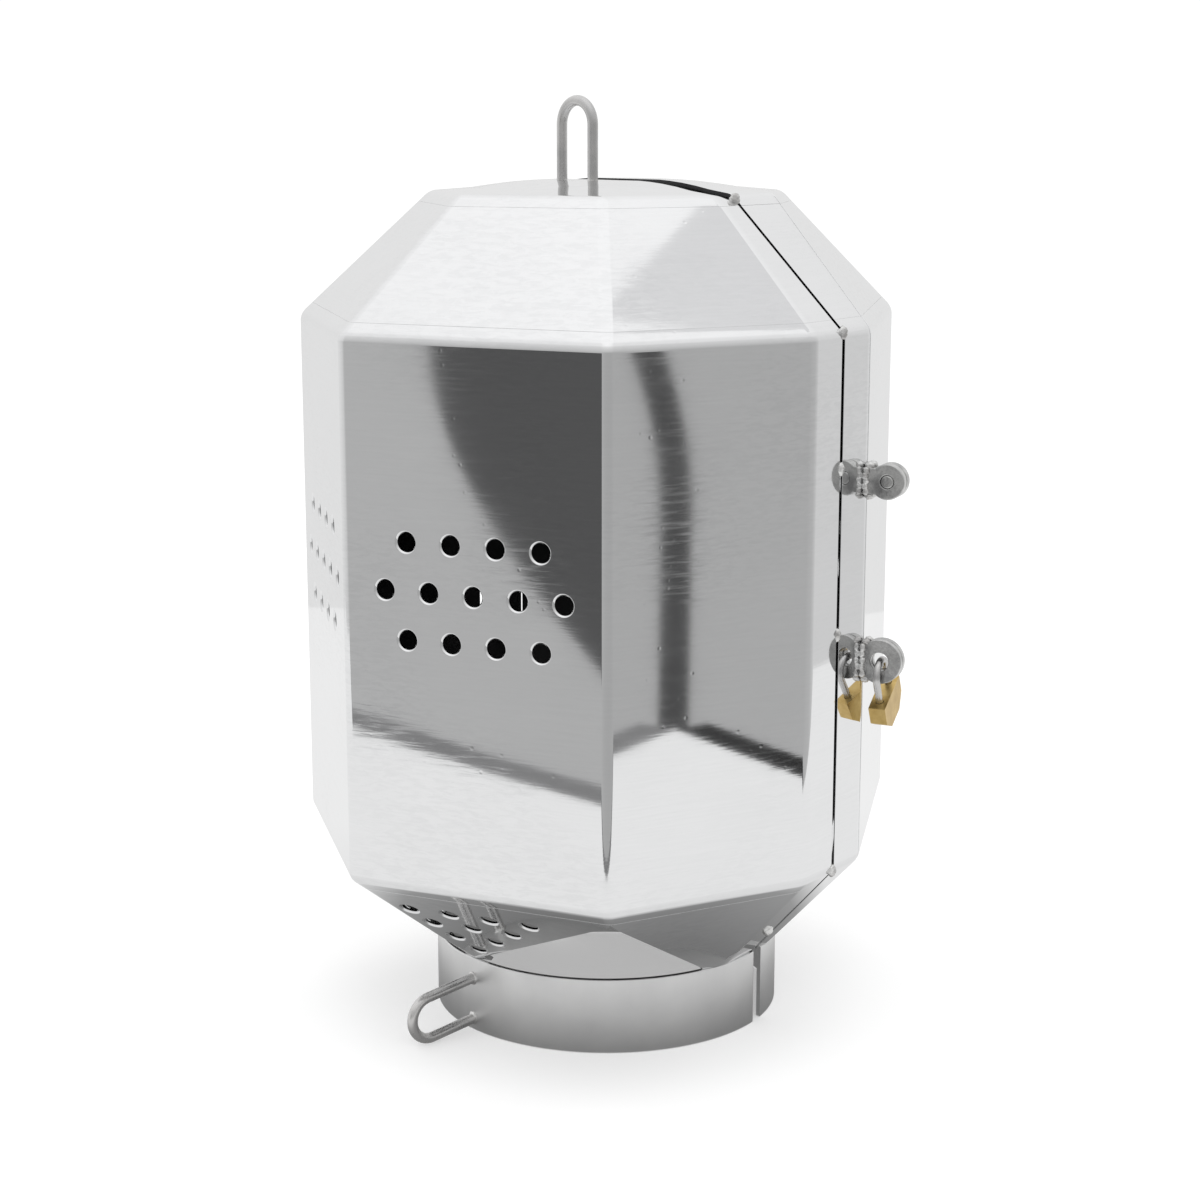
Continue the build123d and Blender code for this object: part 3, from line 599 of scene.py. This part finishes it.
# ---- welds -----------------------------------------------------------------------------
def beads(name, places, nodes, body):
    """Lumps of weld metal, each (middle, size along X, Y and Z, turn about Z)."""
    bm = bmesh.new()
    for middle, size, turn in places:
        matrix = Matrix.Translation(middle) @ Matrix.Rotation(turn, 4, "Z") @ Matrix.Diagonal((*size, 1))
        lump = bmesh.ops.create_icosphere(bm, subdivisions=3, radius=0.5, matrix=matrix)["verts"]
        for vert in lump:
            out = (vert.co - Vector(middle)).normalized()
            lumps = noise.noise(vert.co * 0.9) * 0.55 + noise.noise(vert.co * 2.3) * 0.2
            vert.co += out * lumps * min(size) * 0.3
    obj = new_object(name, bm, (weld,))
    stand_for(obj, nodes, body)


def gap_point(side, z):
    """The gap's middle on the casing's outer face at a height."""
    values = (SEAT_AT[CHAMFER], WALL_AT[CHAMFER], WALL_AT[CHAMFER], CAP_AT[CHAMFER])
    return ray(side * CHAMFER, between(values, z), z)


TACK_HEIGHTS = (43.9, 73.0, 163.0, 224.0, 273.0, 318.6)
for side, word in SIDES:
    places = [(gap_point(side, z) - ray(side * CHAMFER, 0.5), (3.0, 3.4 + z % 1, 5.2), radians(side * -13))
              for z in TACK_HEIGHTS]
    beads("gap_beads_" + word, places, ["gap_tacks_" + word], "front")

LUG_AZIMUTH = 2.25 * STEP
LUG_OUT, LUG_NORMAL = ray(LUG_AZIMUTH), ray(LUG_AZIMUTH - 90)
UPPER_LUG, LOWER_LUG = (218.0, 6.6, 3.4), (150.5, 8.3, 2.6)     # height, radius and thickness
RIDGE = meet((CHAMFER, WALL_AT[CHAMFER]), (SIDE_REAR, WALL_AT[SIDE_REAR]))


def lug_beads(height, radius, thickness, sign):
    """A run of beads down a lug's outer foot, and one over each end."""
    face = LUG_NORMAL * sign
    middle = RIDGE + LUG_OUT * 0.6 + face * (0.35 + thickness) + Vector((0, 0, height))
    turn = radians(LUG_AZIMUTH - 90)
    places = []
    for step in (-2, -1, 0, 1, 2):
        down = middle + Vector((0, 0, step * radius * 0.3))
        places.append((down - LUG_OUT * (0.4 * (step % 2)), (2.4, 2.0, radius * 0.42), turn))
    corner = middle - face * (thickness / 2 - 0.2) + LUG_OUT * 0.8
    for end in (-1, 1):
        places.append((corner + Vector((0, 0, end * radius * 0.86)), (3.4, thickness, 2.6), turn))
    return places


for sign, body in ((1, "front"), (-1, "door")):
    beads("lug_beads_" + body, lug_beads(*UPPER_LUG, sign) + lug_beads(*LOWER_LUG, sign), [], body)

TOP_LOOP_Y, TOP_LOOP_HALF = -9.6, 9
COLLAR_LOOP_Z, COLLAR_LOOP_HALF = 13.0, 8.2
top_feet = [(Vector((end * TOP_LOOP_HALF, TOP_LOOP_Y, Z_CROWN - 0.6)), (5.4, 5.0, 1.9), 0) for end in (1, -1)]
beads("top_loop_beads", top_feet, [], "front")
collar_front = Vector((0, COLLAR_BACK - COLLAR_RADIUS, COLLAR_LOOP_Z))
collar_feet = [(collar_front + Vector((0, 0, end * COLLAR_LOOP_HALF)), (5.2, 1.8, 5.2), 0) for end in (1, -1)]
beads("collar_loop_beads", collar_feet, [], "front")


# ---- stage -----------------------------------------------------------------------------
def sheet_mesh(name, corners, material):
    bm = bmesh.new()
    bm.faces.new([bm.verts.new(p) for p in corners])
    mesh = bpy.data.meshes.new(name)
    bm.to_mesh(mesh)
    bm.free()
    mesh.materials.append(material)
    obj = bpy.data.objects.new(name, mesh)
    bpy.context.collection.objects.link(obj)
    return obj


def glow(name, level):
    f = Finish(name)
    shader = f.node("ShaderNodeEmission", {}, {"Color": (level, level, level * 1.01, 1), "Strength": 1.0})
    f.node("ShaderNodeOutputMaterial", {}, {"Surface": shader})
    return f.owner


def pale_floor():
    f = Finish("pale_floor")
    grain = f.noise(3.0, detail=2.0)
    return f.surface(f.ramp(grain, (0.0, 0.60), (1.0, 0.62)), 0.9, 0.0, Specular_IOR_Level=0.0,
                     Emission_Color=(1, 1, 1, 1), Emission_Strength=0.42)


def lit_table():
    """White away from the object, shaded close round its foot."""
    f = Finish("lit_table")
    where = f.node("ShaderNodeTexCoord", output=3)
    reach = f.node("ShaderNodeVectorMath", {"operation": "LENGTH"}, {0: where}, output=1)
    # painted shadow: the reflected table darkens towards the casing's foot, where the casing's shade would
    # fall
    level = f.ramp(reach * 2.5, (0.17, 0.20), (0.25, 0.33), (0.31, 0.80), (0.75, 0.90))
    shader = f.node("ShaderNodeEmission", {}, {"Color": level, "Strength": 1.0})
    f.node("ShaderNodeOutputMaterial", {}, {"Surface": shader})
    return f.owner


def about_axis(points):
    return [AXIS + Vector(point) * MM for point in points]


FLOOR = 40          # metres from the middle to each side
floor_corners = [(x * FLOOR, y * FLOOR, 0) for x, y in ((-1, -1), (1, -1), (1, 1), (-1, 1))]
floor = sheet_mesh("floor", floor_corners, pale_floor())
floor.visible_glossy = False

# what the steel reflects: a white table with a dark edge, a dark board with a swept edge, a bent
# post, and a pale card above for the roof
TABLE = ((-250, -850), (600, 100), (450, 150), (300, 700), (-800, 700), (-800, -500))
TRIM_WIDTH = 25
BOARD_DISTANCE = 1300
SWEEP_START, SWEEP_END, SWEEP_POWER = (-20, 160), (140, -140), 1.7
BOARD_SIDE, BOARD_TOP = 240, 260
POST_PLACE, POST_WIDTH, POST_BEND, POST_TOP, POST_FOOT = 290, 30, 35, 170, -220
ROOF_CARD, ROOF_CARD_HEIGHT = ((500, 900), (760, 1500), (420, 1900), (150, 1500)), 2300
TABLE_HEIGHT, TRIM_HEIGHT = 0.5, 0.3


def edge_trim(start, end):
    """A strip just outside one edge of the table."""
    start, end = Vector((*start, TRIM_HEIGHT)), Vector((*end, TRIM_HEIGHT))
    out = (end - start).cross(Vector((0, 0, 1))).normalized() * TRIM_WIDTH
    return [start, end, end + out, start + out]


def swept_board():
    """A flat board, its lower corner cut away along a curve."""
    sweep = []
    for step in range(13):
        share = step / 12
        x = SWEEP_START[0] + (SWEEP_END[0] - SWEEP_START[0]) * share ** SWEEP_POWER
        sweep.append((x, -BOARD_DISTANCE, SWEEP_START[1] + (SWEEP_END[1] - SWEEP_START[1]) * share))
    corners = ((BOARD_SIDE, SWEEP_END[1]), (BOARD_SIDE, BOARD_TOP), (SWEEP_START[0], BOARD_TOP))
    return sweep + [(x, -BOARD_DISTANCE, z) for x, z in corners]


def bent_post():
    """An upright strip whose top half bends forward."""
    heights = [POST_FOOT, 0] + [POST_TOP * step / 6 for step in range(1, 7)]
    front = [(BOARD_DISTANCE, POST_PLACE - POST_BEND * (max(z, 0) / POST_TOP) ** 2, z) for z in heights]
    return front + [(x, y + POST_WIDTH, z) for x, y, z in reversed(front)]


def reflected_sheet(name, points, material):
    obj = sheet_mesh(name, about_axis(points), material)
    obj.visible_camera = obj.visible_diffuse = obj.visible_shadow = obj.visible_transmission = False


reflected_sheet("table_top", [(x, y, TABLE_HEIGHT) for x, y in TABLE], lit_table())
reflected_sheet("front_trim", edge_trim(*TABLE[:2]), glow("front_trim", 0.22))
reflected_sheet("side_trim", edge_trim(*TABLE[1:3]), glow("side_trim", 0.03))
reflected_sheet("front_board", swept_board(), glow("front_board", 0.095))
reflected_sheet("side_board", bent_post(), glow("side_board", 0.07))
reflected_sheet("roof_card", [(x, y, ROOF_CARD_HEIGHT) for x, y in ROOF_CARD], glow("roof_card", 0.78))

world = bpy.data.worlds.new("studio")
bpy.context.scene.world = world
w = Finish("studio", world)
direction = w.node("ShaderNodeTexCoord", output=0)
height = w.node("ShaderNodeSeparateXYZ", {}, {0: direction}, output=2)
BRIGHTER_WAY = (-0.9, 0.45, 0.0)
across = w.node("ShaderNodeVectorMath", {"operation": "DOT_PRODUCT"},
                {0: direction, 1: BRIGHTER_WAY}, output=1)
level = w.ramp(across * 0.5 + 0.5, (0.0, 0.42), (0.36, 0.50), (0.56, 0.68), (0.85, 0.80))
above = w.ramp(height, (0.04, 0.0), (0.50, 0.38), (0.80, 0.72), (0.93, 1.0))
OVERHEAD_WHITE = (1.08, 1.08, 1.085, 1.0)
sky = w.node("ShaderNodeMix", {"data_type": "RGBA"}, {0: above, 6: level, 7: OVERHEAD_WHITE}, output=2)
reflected = w.node("ShaderNodeBackground", {}, {"Color": sky, "Strength": 1.0})
white = w.node("ShaderNodeBackground", {}, {"Color": (1, 1, 1, 1), "Strength": 1.05})
glossy = w.node("ShaderNodeLightPath", output=3)
mixed = w.node("ShaderNodeMixShader", {}, {0: glossy, 1: white, 2: reflected})
w.node("ShaderNodeOutputWorld", {}, {"Surface": mixed})


def softbox(name, place, target, size, power):
    light = bpy.data.lights.new(name, "AREA")
    light.shape, light.size, light.size_y, light.energy = "RECTANGLE", size[0], size[1], power
    obj = bpy.data.objects.new(name, light)
    obj.location = place
    obj.rotation_euler = (Vector(target) - Vector(place)).to_track_quat("-Z", "Y").to_euler()
    obj.visible_glossy = False
    bpy.context.collection.objects.link(obj)


softbox("overhead", (0.2, -0.3, 2.2), (0, 0, 0.1), (2.4, 2.4), 14)
softbox("key", (1.6, -1.8, 1.4), (0, 0, 0.2), (1.0, 1.0), 3)

# ---- camera ----------------------------------------------------------------------------
PITCH, HEADING = radians(11.63), radians(49.62)
CAMERA_PLACE, LENS, SENSOR = Vector((0.6836, -0.5798, 0.347)), 69.87, 36.0
camera_data = bpy.data.cameras.new("camera")
camera_data.lens, camera_data.sensor_width = LENS, SENSOR
camera = bpy.data.objects.new("camera", camera_data)
camera.location = AXIS + CAMERA_PLACE
look = Vector((-sin(HEADING) * cos(PITCH), cos(HEADING) * cos(PITCH), -sin(PITCH)))
camera.rotation_euler = look.to_track_quat("-Z", "Y").to_euler()
bpy.context.collection.objects.link(camera)
bpy.context.scene.camera = camera
bpy.context.scene.view_settings.view_transform = "Standard"
